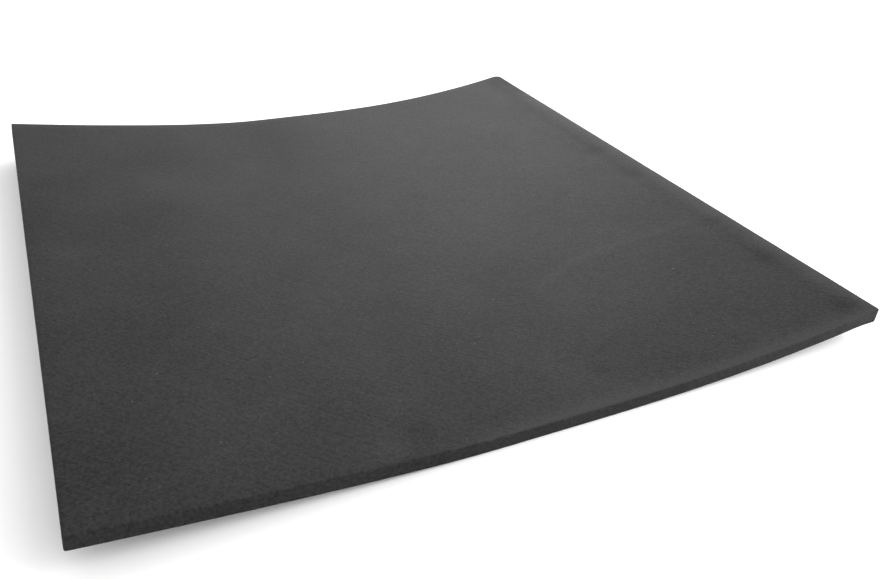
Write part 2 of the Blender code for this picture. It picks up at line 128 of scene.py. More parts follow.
def flat_panel(inset, height, cell):
    """Rounded rectangle this far inside the mat's edge, cut into a fine grid that lies flat."""
    panel = bmesh.new()
    place = Matrix.Translation((0, 0, height))
    size = Matrix.Diagonal((MAT_WIDTH / 2 - inset, MAT_LENGTH / 2 - inset, 1, 1))
    bmesh.ops.create_grid(panel, x_segments=1, y_segments=1, size=1, matrix=place @ size)
    for corner in panel.verts[:]:
        radius = corner_radius(inset, corner.co.x > 0, corner.co.y > 0)
        bmesh.ops.bevel(panel, geom=[corner], offset=radius, segments=3, profile=0.5, affect="VERTICES",
                        material=-1)
    for normal, length in ((Vector((1, 0, 0)), MAT_WIDTH), (Vector((0, 1, 0)), MAT_LENGTH)):
        count = round(length / cell)
        for number in range(1, count):
            cut_across(panel, normal * (number / count - 0.5) * length, normal)
    cloth = panel.verts.layers.float_vector.new("cloth")
    for vertex in panel.verts:
        vertex[cloth] = vertex.co
    return panel


def wrap(panel, inset, height, profile):
    """Draw the panel's rim out through (inset, height) steps. The cloth layer goes on measuring the
    cloth as if it lay flat, so that the weave turns over the edge without a stretch."""
    cloth = panel.verts.layers.float_vector["cloth"]
    for next_inset, next_height in profile:
        rim = [edge for edge in panel.edges if edge.is_boundary]
        grown = bmesh.ops.extrude_edge_only(panel, edges=rim)
        run = math.dist((inset, height), (next_inset, next_height))
        for vertex in (item for item in grown["geom"] if isinstance(item, bmesh.types.BMVert)):
            core, _ = core_of(vertex.co, inset)
            direction = (vertex.co.xy - core).normalized()
            vertex[cloth] = vertex[cloth] + direction.to_3d() * run
            next_core, radius = core_of(core, next_inset)
            # A side moves with its outline, outwards too, so its place comes from well beyond it.
            beyond, _ = core_of(vertex.co * 2, next_inset)
            for axis in (0, 1):
                if abs(direction[axis]) > 1e-4:
                    next_core[axis] = beyond[axis]
            vertex.co.xy = next_core + direction * radius
            vertex.co.z = next_height
        inset, height = next_inset, next_height


def steps(start, end, count):
    """Straight run of (inset, height) points after its start."""
    return [(start[0] + (end[0] - start[0]) * n / count, start[1] + (end[1] - start[1]) * n / count)
            for n in range(1, count + 1)]


def round_over(inset, height, radius, start, end, count):
    """Arc of (inset, height) points about a centre, after its start angle. 0 degrees faces out."""
    angles = [math.radians(start + (end - start) * n / count) for n in range(1, count + 1)]
    return [(inset - radius * math.cos(angle), height + radius * math.sin(angle)) for angle in angles]


def smooth_step(value):
    value = max(0.0, min(1.0, value))
    return value * value * (3 - 2 * value)


def bump_at(x, y, centre, radius):
    """1 at a centre, fading to 0 at about twice the radius."""
    return math.exp(-((x - centre[0]) ** 2 + (y - centre[1]) ** 2) / radius ** 2)


def segment_distance(x, y, start, end):
    along = Vector((end[0] - start[0], end[1] - start[1]))
    offset = Vector((x - start[0], y - start[1]))
    part = max(0.0, min(1.0, offset.dot(along) / along.length_squared))
    return (offset - along * part).length


# Relief of the padded face. It is full, and its right and back left edges are rolled down. A shallow
# bond line follows the right edge, and the front right quarter carries an old fold.
CROWN = 0.00035
FILL_PRESSURE = 0.37
FILL_FRAMES = 6
ROLL_FALL = 0.00040
ROLL_RUN = 0.017
RIGHT_ROLL_END = 0.245
BACK_ROLL_END = 0.10
FRONT_ROLL_START = -0.09
# Where the painted shade at the back right corner begins, and how far in from the right edge it reaches.
CORNER_SHADE_START = 0.185
CORNER_SHADE_RUN = 0.022
# Painted shade per metre of relief: dents are painted darker and bumps lighter.
PAINTED_SHADE_PER_RISE = 700
SLOW_RISE = 0.00020
FINE_RISE = 0.00007
MOTTLE_RISE = 0.00016
BOND_START = 0.205
BOND_INSET = 0.0215
BOND_RUN = 0.0050
BOND_DEPTH = 0.00022
CORNER_SAG = 0.0016
CORNER_TUCK = 0.0020
CORNER_SAG_RUN = 0.010
FOLD = [(0.052, -0.146), (0.088, -0.123), (0.120, -0.112), (0.165, -0.108), (0.220, -0.108)]
FOLD_RISE = 0.00022
FOLD_RUN = 0.0034
# Dents and lumps from storage: (place, radius, rise)
DENTS = [((0.051, -0.234), 0.007, -0.00030), ((-0.075, -0.243), 0.009, -0.00030),
         ((-0.098, -0.255), 0.009, 0.00036), ((0.238, -0.250), 0.007, -0.00040),
         ((0.148, -0.244), 0.008, -0.00026), ((0.049, 0.033), 0.008, -0.00016),
         ((-0.240, 0.120), 0.011, -0.00026), ((-0.228, -0.003), 0.012, 0.00022),
         ((0.247, -0.166), 0.008, 0.00030), ((0.246, -0.216), 0.009, 0.00026),
         ((0.236, -0.119), 0.007, -0.00030), ((0.234, -0.020), 0.009, -0.00032),
         ((0.231, 0.040), 0.010, -0.00032), ((0.235, -0.180), 0.008, -0.00034),
         ((0.247, 0.236), 0.015, -0.00052), ((0.250, 0.215), 0.012, -0.00030)]


def edge_gaps(x, y):
    """Distances from the side edges and from the end edges."""
    return MAT_WIDTH / 2 - abs(x), MAT_LENGTH / 2 - abs(y)


def roll_share(x, y):
    """1 where an edge is fully rolled down, fading inwards to 0. It sets the fall of the face and the
    painted highlight along the rolled edges.
    """
    side_gap, end_gap = edge_gaps(x, y)
    right = max(1 - side_gap / ROLL_RUN, 0) ** 2 if x > 0 else 0.0
    right *= smooth_step((RIGHT_ROLL_END - y) / 0.03)
    back_left = max(1 - end_gap / ROLL_RUN, 0) ** 2 if y > 0 else 0.0
    back_left *= smooth_step((BACK_ROLL_END - x) / 0.10)
    front_right = max(1 - end_gap / ROLL_RUN, 0) ** 2 if y < 0 else 0.0
    front_right *= smooth_step((x - FRONT_ROLL_START) / 0.08)
    return right, back_left, front_right


def roll_fall(x, y):
    """How far the face drops towards a rolled edge."""
    right, back_left, front_right = roll_share(x, y)
    return ROLL_FALL * max(right, back_left, 0.3 * front_right)


def painted_edge_light_and_shade(x, y):
    """Painted highlight along the rolled edges, where they catch the light, less a painted shade on the
    right edge at the back right corner.
    """
    right, back_left, front_right = roll_share(x, y)
    # Painted shade: the right edge near the back right corner turns away from the light, so it is painted
    # darker.
    painted_corner_shade = max(1 - (MAT_WIDTH / 2 - x) / CORNER_SHADE_RUN, 0) * smooth_step((y - CORNER_SHADE_START) / 0.03)
    return max(0.80 * right, 0.22 * back_left, 0.75 * front_right) - 1.1 * painted_corner_shade


def relief(x, y):
    """Unevenness on top of the crown: bond line, fold, dents and slow waves."""
    side_gap, end_gap = edge_gaps(x, y)
    place = Vector((x, y, 0))
    mottle = noise.noise(place * 80)
    at_right = smooth_step((x - BOND_START) / 0.015) * smooth_step(end_gap / 0.008)
    bond = math.exp(-((side_gap - BOND_INSET) / BOND_RUN) ** 2)
    height = (MOTTLE_RISE * mottle - BOND_DEPTH * bond * (0.7 + 1.4 * mottle)) * at_right
    height += SLOW_RISE * noise.noise(place * 14 + Vector((3, 1, 7)))
    height += FINE_RISE * noise.noise(place * 48)
    fold_gap = min(segment_distance(x, y, start, end) for start, end in zip(FOLD, FOLD[1:]))
    fade = smooth_step((x - FOLD[0][0] + 0.01) / 0.04)
    height += FOLD_RISE * fade * math.exp(-(fold_gap / FOLD_RUN) ** 2)
    for centre, radius, rise in DENTS:
        height += rise * bump_at(x, y, centre, radius)
    return max(height, LOWEST_RELIEF)


def shape_pad(pad, fall_start=None):
    """Give a flat face its relief and rolled edges, and store its painted light and shade: bumps lighter,
    dents darker, a painted highlight on the rolled edges. Above fall_start the rounded rim follows in part.
    """
    painted_light_and_shade = pad.verts.layers.float.new("painted_light_and_shade")
    for vertex in pad.verts:
        share = 1.0 if fall_start is None else smooth_step((vertex.co.z - fall_start) / TOP_ROUNDING)
        detail = relief(vertex.co.x, vertex.co.y)
        # Painted light and shade: bumps and rolled edges are painted lighter, dents and the back right
        # corner darker.
        vertex[painted_light_and_shade] = share * (detail * PAINTED_SHADE_PER_RISE + painted_edge_light_and_shade(vertex.co.x, vertex.co.y))
        vertex.co.z += share * max(detail - roll_fall(vertex.co.x, vertex.co.y), LOWEST_RELIEF)


def fill_out(panel):
    """Press a flat panel out from inside by cloth simulation, held along its rim, and give back how far
    each point rises. It is stopped early, because the cloth is bonded to the wadding under it."""
    mesh = bpy.data.meshes.new("filling")
    panel.to_mesh(mesh)
    filling = bpy.data.objects.new("filling", mesh)
    bpy.context.collection.objects.link(filling)
    rim = filling.vertex_groups.new(name="rim")
    rim.add([vertex.index for vertex in panel.verts if vertex.is_boundary], 1, "REPLACE")
    cloth = filling.modifiers.new("cloth", "CLOTH")
    cloth.settings.vertex_group_mass = "rim"
    cloth.settings.use_pressure = True
    cloth.settings.uniform_pressure_force = FILL_PRESSURE
    cloth.settings.effector_weights.gravity = 0
    cloth.point_cache.frame_end = FILL_FRAMES
    for number in range(1, FILL_FRAMES + 1):
        bpy.context.scene.frame_set(number)
    settled = filling.evaluated_get(bpy.context.evaluated_depsgraph_get()).to_mesh()
    rises = [after.co.z - before.co.z for after, before in zip(settled.vertices, mesh.vertices)]
    bpy.data.objects.remove(filling)
    bpy.context.scene.frame_set(1)
    return [min(rise, CROWN) for rise in rises]


def add_piece(name, mesh_data, node_names, smooth_angle=50):
    """Turn a finished bmesh into a piece that rides with the mat and stands for its CAD nodes."""
    mesh = bpy.data.meshes.new(name)
    mesh_data.to_mesh(mesh)
    mesh_data.free()
    mesh.shade_smooth()
    mesh.set_sharp_from_angle(angle=math.radians(smooth_angle))
    piece = bpy.data.objects.new(name, mesh)
    bpy.context.collection.objects.link(piece)
    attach(piece, "root")
    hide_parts(*node_names)
    return piece


def thicken(piece, thickness):
    """Round the cells out, then give the cloth its thickness on the inner side."""
    rounding = piece.modifiers.new("rounding", "SUBSURF")
    rounding.levels = rounding.render_levels = 1
    cloth = piece.modifiers.new("cloth", "SOLIDIFY")
    cloth.thickness = thickness
    cloth.offset = -1


# The corner where the bulk of the folded hem hangs a little
FRONT_RIGHT = (MAT_WIDTH / 2, -MAT_LENGTH / 2)

wall_top = THICKNESS - TOP_ROUNDING
cover_profile = (round_over(TOP_ROUNDING, wall_top, TOP_ROUNDING, 90, 0, 4)
                 + [(0, SLOT_HIGH), (0, SLOT_LOW), (0, BOTTOM_ROUNDING)]
                 + round_over(BOTTOM_ROUNDING, BOTTOM_ROUNDING, BOTTOM_ROUNDING, 0, -90, 3)
                 + steps((BOTTOM_ROUNDING, 0), (HEM_WIDTH, 0), 4))
cover_mesh = flat_panel(TOP_ROUNDING, THICKNESS, COVER_CELL)
for vertex, rise in zip(list(cover_mesh.verts), fill_out(cover_mesh)):
    vertex.co.z += rise
for side in (-1, 1):
    cut_across(cover_mesh, (INLET_X + side * SLOT_HALF_WIDTH, 0, 0), (1, 0, 0))
cover_cloth = cover_mesh.verts.layers.float_vector["cloth"]
for vertex in cover_mesh.verts:
    vertex[cover_cloth] = (vertex.co.x, vertex.co.y, THICKNESS)
wrap(cover_mesh, TOP_ROUNDING, THICKNESS, cover_profile)
slot_faces = []
for face in cover_mesh.faces:
    middle = face.calc_center_median()
    at_slot = abs(middle.x - INLET_X) < SLOT_HALF_WIDTH and middle.y > MAT_LENGTH / 2 - 1e-5
    if at_slot and SLOT_LOW < middle.z < SLOT_HIGH:
        slot_faces.append(face)
bmesh.ops.delete(cover_mesh, geom=slot_faces, context="FACES")
shape_pad(cover_mesh, wall_top)
for vertex in cover_mesh.verts:
    if vertex.co.z < wall_top:
        hang = bump_at(vertex.co.x, vertex.co.y, FRONT_RIGHT, CORNER_SAG_RUN)
        hang *= 1 - vertex.co.z / wall_top
        vertex.co.z -= CORNER_SAG * hang
        vertex.co.x -= CORNER_TUCK * hang
    vertex.co = bend(vertex.co)
cover = add_piece("padded_cover", cover_mesh, ["top_cover"])
thicken(cover, CLOTH)


def new_group(name, inputs, outputs):
    """Empty shader group. inputs are (name, value) pairs, and a value of None makes a vector input."""
    group = bpy.data.node_groups.new(name, "ShaderNodeTree")
    for label, value in inputs:
        kind = "NodeSocketVector" if value is None else "NodeSocketFloat"
        socket = group.interface.new_socket(label, in_out="INPUT", socket_type=kind)
        if value is not None:
            socket.default_value = value
    for label in outputs:
        group.interface.new_socket(label, in_out="OUTPUT", socket_type="NodeSocketFloat")
    return group, group.nodes.new("NodeGroupInput"), group.nodes.new("NodeGroupOutput")


def feed(tree, socket, value):
    """Set a socket to a number, or link another node's output to it."""
    if isinstance(value, bpy.types.NodeSocket):
        tree.links.new(value, socket)
    else:
        socket.default_value = value


def calc(tree, operation, *values):
    node = tree.nodes.new("ShaderNodeMath")
    node.operation = operation
    for socket, value in zip(node.inputs, values):
        feed(tree, socket, value)
    return node.outputs[0]


def grain(tree, vector, scale, detail=2.0, roughness=0.5):
    node = tree.nodes.new("ShaderNodeTexNoise")
    settings = {"Vector": vector, "Scale": scale, "Detail": detail, "Roughness": roughness}
    for label, value in settings.items():
        feed(tree, node.inputs[label], value)
    return node.outputs["Fac"]


def mix_colour(tree, factor, low, high):
    node = tree.nodes.new("ShaderNodeMix")
    node.data_type = "RGBA"
    feed(tree, node.inputs["Factor"], factor)
    # The colour inputs are the seventh and eighth sockets of a Mix node.
    feed(tree, node.inputs[6], (*low, 1) if isinstance(low, tuple) else low)
    feed(tree, node.inputs[7], (*high, 1) if isinstance(high, tuple) else high)
    return node.outputs[2]


def place_group(tree, group, vector, **values):
    node = tree.nodes.new("ShaderNodeGroup")
    node.node_tree = group
    feed(tree, node.inputs["Vector"], vector)
    for label, value in values.items():
        feed(tree, node.inputs[label.replace("_", " ")], value)
    return node.outputs


def own_attribute(tree, name, output):
    node = tree.nodes.new("ShaderNodeAttribute")
    node.attribute_name = name
    return node.outputs[output]


def cloth_measure(tree):
    return own_attribute(tree, "cloth", "Vector")


def object_place(tree):
    return tree.nodes.new("ShaderNodeTexCoord").outputs["Object"]


def new_material(name, roughness, metallic=0.0, specular=0.5):
    made = bpy.data.materials.new(name)
    made.use_nodes = True
    shader = made.node_tree.nodes["Principled BSDF"]
    shader.inputs["Roughness"].default_value = roughness
    shader.inputs["Metallic"].default_value = metallic
    shader.inputs["Specular IOR Level"].default_value = specular
    return made, made.node_tree, shader


def add_bump(tree, shader, height, distance, strength=1.0):
    node = tree.nodes.new("ShaderNodeBump")
    node.inputs["Distance"].default_value = distance
    node.inputs["Strength"].default_value = strength
    tree.links.new(height, node.inputs["Height"])
    tree.links.new(node.outputs["Normal"], shader.inputs["Normal"])


def make_twill_group():
    """Twill: each yarn crosses two over and two under, a step aside in each row, so that ribs run on
    the diagonal. Every second rib is a little fuller. Height runs from 0 in the gaps to 1 on a crown."""
    group, given, result = new_group(
        "twill", [("Vector", None), ("Yarn Width", 0.00064), ("Wander", 0.0006)],
        ["Height", "Rib", "Fibre", "Slub"])
    vector = given.outputs["Vector"]
    yarn_width = given.outputs["Yarn Width"]
    split = group.nodes.new("ShaderNodeSeparateXYZ")
    group.links.new(vector, split.inputs[0])
    drift = calc(group, "MULTIPLY", calc(group, "SUBTRACT", grain(group, vector, 70, 3.0), 0.5),
                 given.outputs["Wander"])
    across = calc(group, "DIVIDE", calc(group, "ADD", split.outputs["X"], drift), yarn_width)
    along = calc(group, "DIVIDE", calc(group, "ADD", split.outputs["Y"], drift), yarn_width)
    diagonal = calc(group, "ADD", across, along)

    def wave(value, turns):
        sine = calc(group, "SINE", calc(group, "MULTIPLY", value, 2 * math.pi * turns))
        return calc(group, "MULTIPLY_ADD", sine, 0.5, 0.5)

    fine_rib = wave(diagonal, 0.25)
    wale = wave(diagonal, 0.125)
    broad = wave(diagonal, 0.0625)
    warp = wave(across, 1)
    weft = wave(along, 1)
    over = calc(group, "ADD", calc(group, "MULTIPLY", warp, fine_rib),
                calc(group, "MULTIPLY", weft, calc(group, "SUBTRACT", 1.0, fine_rib)))
    uneven = grain(group, vector, 34, 2.0)
    wales = calc(group, "MULTIPLY", calc(group, "ADD", calc(group, "MULTIPLY", wale, 0.6),
                                         calc(group, "MULTIPLY", broad, 0.4)), uneven)
    height = calc(group, "ADD", calc(group, "MULTIPLY", over, 0.30),
                  calc(group, "MULTIPLY", fine_rib, 0.14))
    height = calc(group, "ADD", height, calc(group, "MULTIPLY", wales, 0.55))
    group.links.new(height, result.inputs["Height"])
    group.links.new(wales, result.inputs["Rib"])
    group.links.new(grain(group, vector, 1150, 3.0, 0.7), result.inputs["Fibre"])
    group.links.new(grain(group, vector, 620, 2.0, 0.6), result.inputs["Slub"])
    return group


twill_group = make_twill_group()
twill, tree, shader = new_material("charcoal_twill", 0.62, specular=0.10)
measure = cloth_measure(tree)
weave = place_group(tree, twill_group, measure)
blotch = grain(tree, measure, 16, 3.0, 0.55)
shade = calc(tree, "MULTIPLY_ADD", weave["Fibre"], 0.8, calc(tree, "MULTIPLY", weave["Slub"], 1.5))
# Painted shade: the fuller ribs are painted a little lighter and the valleys between them darker.
shade = calc(tree, "ADD", shade, calc(tree, "MULTIPLY", weave["Rib"], 0.12))
shade = calc(tree, "ADD", shade, calc(tree, "MULTIPLY", blotch, 0.35))
# Painted light and shade from the relief and the rolled edges: bumps and rims lighter, dents and the back
# right corner darker.
shade = calc(tree, "MULTIPLY_ADD", own_attribute(tree, "painted_light_and_shade", "Fac"), 1.0, shade)
shade = calc(tree, "SUBTRACT", shade, 0.93)
lint = calc(tree, "GREATER_THAN", grain(tree, measure, 800, 0.0), 0.865)
colour = mix_colour(tree, shade, (0.0045, 0.0045, 0.0045), (0.028, 0.028, 0.028))
colour = mix_colour(tree, lint, colour, (0.11, 0.11, 0.11))
tree.links.new(colour, shader.inputs["Base Color"])
shader.inputs["Sheen Weight"].default_value = 0.012
shader.inputs["Sheen Roughness"].default_value = 0.45
height = calc(tree, "MULTIPLY_ADD", weave["Fibre"], 0.5, weave["Height"])
height = calc(tree, "MULTIPLY_ADD", weave["Slub"], 0.8, height)
add_bump(tree, shader, height, 0.00016, 0.8)
cover.data.materials.append(twill)

# ---------------------------------------------------------------------------------------------------
# Backing. Woven polyester with a rubbery coating that grips the bench. Its panel fills the opening in
# the hem, and a flange all round laps over the hem inside the mat.
SEAM_WIDTH = 0.0012
FLANGE_WIDTH = 0.0122
LAP_GAP = 0.0003
BACKING_ROUNDING = 0.0004
BACKING_CELL = 0.010
shoulder = HEM_WIDTH + SEAM_WIDTH
lap_height = CLOTH + LAP_GAP
backing_inset = shoulder + BACKING_ROUNDING
backing_mesh = flat_panel(backing_inset, 0, BACKING_CELL)
wrap(backing_mesh, backing_inset, 0,
     round_over(backing_inset, BACKING_ROUNDING, BACKING_ROUNDING, -90, 0, 3)
     + [(shoulder, lap_height)] + steps((shoulder, lap_height), (shoulder - FLANGE_WIDTH, lap_height), 3))
bmesh.ops.reverse_faces(backing_mesh, faces=backing_mesh.faces[:])
for vertex in backing_mesh.verts:
    vertex.co = bend(vertex.co)
backing = add_piece("backing_panel", backing_mesh, ["bottom_cover"])
thicken(backing, CLOTH)


def make_plain_weave_group():
    """One over, one under. Height runs from 0 in the gaps to 1 on the crossings."""
    group, given, result = new_group("plain_weave", [("Vector", None), ("Yarn Width", 0.0007)],
                                     ["Height", "Fibre"])
    vector = given.outputs["Vector"]
    split = group.nodes.new("ShaderNodeSeparateXYZ")
    group.links.new(vector, split.inputs[0])
    waves = []
    for axis in ("X", "Y"):
        turns = calc(group, "DIVIDE", split.outputs[axis], given.outputs["Yarn Width"])
        waves.append(calc(group, "SINE", calc(group, "MULTIPLY", turns, math.pi)))
    crossing = calc(group, "MULTIPLY", waves[0], waves[1])
    group.links.new(calc(group, "MULTIPLY_ADD", crossing, 0.5, 0.5), result.inputs["Height"])
    group.links.new(grain(group, vector, 900, 3.0, 0.6), result.inputs["Fibre"])
    return group


weave_group = make_plain_weave_group()
coated, tree, shader = new_material("coated_backing", 0.62, specular=0.4)
measure = cloth_measure(tree)
weave = place_group(tree, weave_group, measure, Yarn_Width=0.0011)
scuff = grain(tree, measure, 26, 4.0, 0.6)
shade = calc(tree, "MULTIPLY_ADD", weave["Fibre"], 0.4, calc(tree, "MULTIPLY", scuff, 0.6))
tree.links.new(mix_colour(tree, shade, (0.014, 0.014, 0.0145), (0.050, 0.050, 0.052)),
               shader.inputs["Base Color"])
tree.links.new(calc(tree, "MULTIPLY_ADD", scuff, 0.25, 0.50), shader.inputs["Roughness"])
height = calc(tree, "MULTIPLY_ADD", weave["Fibre"], 0.3, weave["Height"])
add_bump(tree, shader, height, 0.00012, 0.7)
backing.data.materials.append(coated)

# ---------------------------------------------------------------------------------------------------
# Closing stitches. Spun polyester thread, sewn by hand back and forth between the hem and the backing.
# Each stitch slants across the joint and sinks into it, so that nothing stands below the underside.
THREAD = 0.0006
STITCH_PITCH = 0.0046
STITCH_SINK = 0.00038
STITCH_ARCH = 0.00025
STITCH_RUN = 0.0015
STITCH_ACROSS = 0.0007
HALF_STITCH = 0.0017


def seam_point(travel, inset):
    """Place and direction on the seam's outline after a distance, starting at the front left corner."""
    spans = [MAT_WIDTH - 2 * inset, MAT_LENGTH - 2 * inset]
    corners = [(-1, -1), (1, -1), (1, 1), (-1, 1)]
    headings = [(1, 0), (0, 1), (-1, 0), (0, -1)]
    for side in range(4):
        span = spans[side % 2]
        if travel <= span or side == 3:
            corner = Vector((corners[side][0] * spans[0] / 2, corners[side][1] * spans[1] / 2))
            return corner + Vector(headings[side]) * travel, Vector(headings[side])
        travel -= span


def add_stitch(stitches, place, heading):
    """One short sunken run of thread: a tube of six sides with rounded ends, arched in the middle."""
    inward = Vector((-heading.y, heading.x))
    lean = (heading * STITCH_RUN + inward * STITCH_ACROSS).normalized()
    ring_steps = [(-1.0, 0.35), (-0.86, 0.85), (-0.4, 1.0), (0.0, 1.0), (0.4, 1.0), (0.86, 0.85),
                  (1.0, 0.35)]
    ring = bmesh.ops.create_circle(stitches, cap_ends=True, segments=6, radius=THREAD / 2)["verts"]
    face = ring[0].link_faces[0]
    side_axis = Vector((-lean.y, lean.x, 0))
    up_axis = Vector((0, 0, 1))
    for number, (part, width) in enumerate(ring_steps):
        middle = (place + lean * part * HALF_STITCH).to_3d()
        middle.z = STITCH_SINK + STITCH_ARCH * part ** 2
        if number:
            result = bmesh.ops.extrude_face_region(stitches, geom=[face])
            face = next(item for item in result["geom"] if isinstance(item, bmesh.types.BMFace))
        for index, vertex in enumerate(face.verts):
            angle = 2 * math.pi * index / 6
            outward = side_axis * math.cos(angle) + up_axis * math.sin(angle)
            vertex.co = middle + outward * width * THREAD / 2


stitch_mesh = bmesh.new()
seam_inset = HEM_WIDTH + SEAM_WIDTH / 2
seam_length = 2 * (MAT_WIDTH + MAT_LENGTH - 4 * seam_inset)
stitch_count = round(seam_length / STITCH_PITCH)
for number in range(stitch_count):
    add_stitch(stitch_mesh, *seam_point((number + 0.5) * seam_length / stitch_count, seam_inset))
bmesh.ops.recalc_face_normals(stitch_mesh, faces=stitch_mesh.faces[:])
for vertex in stitch_mesh.verts:
    vertex.co = bend(vertex.co)
stitches = add_piece("closing_stitches", stitch_mesh, ["closing_thread"], 80)
thread, tree, shader = new_material("spun_thread", 0.6, specular=0.4)
place = object_place(tree)
strands = grain(tree, place, 2400, 2.0, 0.6)
tree.links.new(mix_colour(tree, strands, (0.030, 0.030, 0.031), (0.095, 0.095, 0.098)),
               shader.inputs["Base Color"])
add_bump(tree, shader, strands, 0.0001, 0.8)
stitches.data.materials.append(thread)

# ---------------------------------------------------------------------------------------------------
# Felt. Needle-punched polyester laid over the heater, which gives the face its softness and spreads
# the heat. It is bonded to the cover, so it takes the same fullness and dents, as far as the heater
# under it lets it down.
FELT_INSET = TOP_ROUNDING
FELT_TOP = 0.0079
FELT_THICKNESS = 0.0007
FELT_FREE_DROP = 0.00028
FELT_CELL = 0.008
CROWN_START = 0.002
CROWN_RUN = 0.022


def crown(x, y):
    """Broad fullness of the pad, which falls away to all edges."""
    return CROWN * smooth_step((min(edge_gaps(x, y)) - CROWN_START) / CROWN_RUN)


felt_mesh = flat_panel(FELT_INSET, FELT_TOP, FELT_CELL)
shape_pad(felt_mesh)
for vertex in felt_mesh.verts:
    vertex.co.z = max(vertex.co.z + crown(vertex.co.x, vertex.co.y), FELT_TOP - FELT_FREE_DROP)
    vertex.co = bend(vertex.co)
felt = add_piece("felt_pad", felt_mesh, ["felt_layer"])
thicken(felt, FELT_THICKNESS)

needled, tree, shader = new_material("needle_felt", 0.95, specular=0.1)
place = object_place(tree)
fibres = grain(tree, place, 700, 4.0, 0.7)
tree.links.new(mix_colour(tree, fibres, (0.16, 0.16, 0.155), (0.52, 0.52, 0.50)),
               shader.inputs["Base Color"])
add_bump(tree, shader, fibres, 0.0004)
felt.data.materials.append(needled)

# ---------------------------------------------------------------------------------------------------
# Lead inlet. A bush moulded in black polypropylene grips the cloth of the back wall between two
# flanges. Its flat bore takes the lead into the junction box.
JUNCTION_Y = MAT_LENGTH / 2 - 0.0362
INLET_MIDDLE = 0.0043
CORNER_ROUND = 0.0009
FLANGE = (0.0210, 0.0048)
INNER_FLANGE = (0.0210, 0.0040)
NECK = (0.0150, 0.0040)
BORE = (0.0066, 0.0024)
WALL_AT = MAT_LENGTH / 2 - JUNCTION_Y
NECK_START = 0.0203
FLANGE_THICKNESS = 0.0018
FLANGE_END = WALL_AT + LAP_GAP + FLANGE_THICKNESS
INNER_END = WALL_AT - CLOTH - LAP_GAP
INNER_START = INNER_END - FLANGE_THICKNESS
EDGE = 0.0003


def seat():
    """Frame of the curled mat at the junction box, which the rigid pieces are square to."""
    centre = bend((INLET_X, JUNCTION_Y, 0))
    across = (bend((INLET_X + 0.001, JUNCTION_Y, 0)) - centre).normalized()
    along = (bend((INLET_X, JUNCTION_Y + 0.001, 0)) - centre).normalized()
    upward = across.cross(along).normalized()
    turn = Matrix((across, upward.cross(across), upward)).transposed()
    return Matrix.Translation(centre) @ turn.to_4x4()


def set_ring(ring, turn, along, size, trim=0.0):
    """Lay a ring of vertices on a rounded rectangle, this far along the bush."""
    for vertex in ring:
        across, upward = vertex[turn].x, vertex[turn].y
        half_width = size[0] / 2 - trim - CORNER_ROUND
        half_height = size[1] / 2 - trim - CORNER_ROUND
        vertex.co = (math.copysign(half_width, across) + CORNER_ROUND * across, along,
                     INLET_MIDDLE + math.copysign(half_height, upward) + CORNER_ROUND * upward)


inlet_mesh = bmesh.new()
turn = inlet_mesh.verts.layers.float_vector.new("turn")
half_step = Matrix.Rotation(math.pi / 24, 4, "Z")
first = bmesh.ops.create_circle(inlet_mesh, segments=24, radius=1, matrix=half_step)["verts"]
for vertex in first:
    vertex[turn] = vertex.co
stations = [(NECK_START, BORE, 0), (NECK_START, NECK, EDGE), (NECK_START + EDGE, NECK, 0)]
stations += [(INNER_START, NECK, 0), (INNER_START, INNER_FLANGE, EDGE),
             (INNER_START + EDGE, INNER_FLANGE, 0), (INNER_END, INNER_FLANGE, 0),
             (INNER_END, NECK, 0)]
stations += [(WALL_AT + LAP_GAP, NECK, 0), (WALL_AT + LAP_GAP, FLANGE, 0), (FLANGE_END - EDGE, FLANGE, 0),
             (FLANGE_END, FLANGE, EDGE), (FLANGE_END, BORE, -EDGE), (FLANGE_END - EDGE, BORE, 0),
             (NECK_START, BORE, 0)]
set_ring(first, turn, *stations[0])
rim = inlet_mesh.edges[:]
for station in stations[1:]:
    grown = bmesh.ops.extrude_edge_only(inlet_mesh, edges=rim)["geom"]
    rim = [item for item in grown if isinstance(item, bmesh.types.BMEdge)]
    set_ring([item for item in grown if isinstance(item, bmesh.types.BMVert)], turn, *station)
    rim = [edge for edge in rim if edge.is_boundary]
bmesh.ops.remove_doubles(inlet_mesh, verts=inlet_mesh.verts[:], dist=1e-6)
bmesh.ops.recalc_face_normals(inlet_mesh, faces=inlet_mesh.faces[:])
bmesh.ops.transform(inlet_mesh, matrix=seat(), verts=inlet_mesh.verts[:])
inlet = add_piece("inlet_bush", inlet_mesh, ["lead_inlet"], 35)


def make_wear_group():
    """Fine moulded grain and broad handling marks, for hard plastics and metals."""
    group, given, result = new_group("surface_wear", [("Vector", None), ("Grain Scale", 1800.0),
                                                      ("Mark Scale", 90.0)], ["Grain", "Marks"])
    vector = given.outputs["Vector"]
    group.links.new(grain(group, vector, given.outputs["Grain Scale"], 3.0, 0.6), result.inputs["Grain"])
    group.links.new(grain(group, vector, given.outputs["Mark Scale"], 4.0, 0.6), result.inputs["Marks"])
    return group


wear_group = make_wear_group()


def worn_material(name, dark, light, roughness, metallic=0.0, grain_scale=1800.0, mark_scale=90.0,
                  bump=0.00006):
    """Material whose colour and gloss vary with its grain and marks."""
    made, tree, shader = new_material(name, roughness, metallic)
    wear = place_group(tree, wear_group, object_place(tree), Grain_Scale=grain_scale, Mark_Scale=mark_scale)
    shade = calc(tree, "MULTIPLY_ADD", wear["Marks"], 0.6, calc(tree, "MULTIPLY", wear["Grain"], 0.4))
    tree.links.new(mix_colour(tree, shade, dark, light), shader.inputs["Base Color"])
    gloss = calc(tree, "MULTIPLY_ADD", wear["Marks"], 0.3, roughness - 0.15)
    tree.links.new(gloss, shader.inputs["Roughness"])
    add_bump(tree, shader, wear["Grain"], bump)
    return made


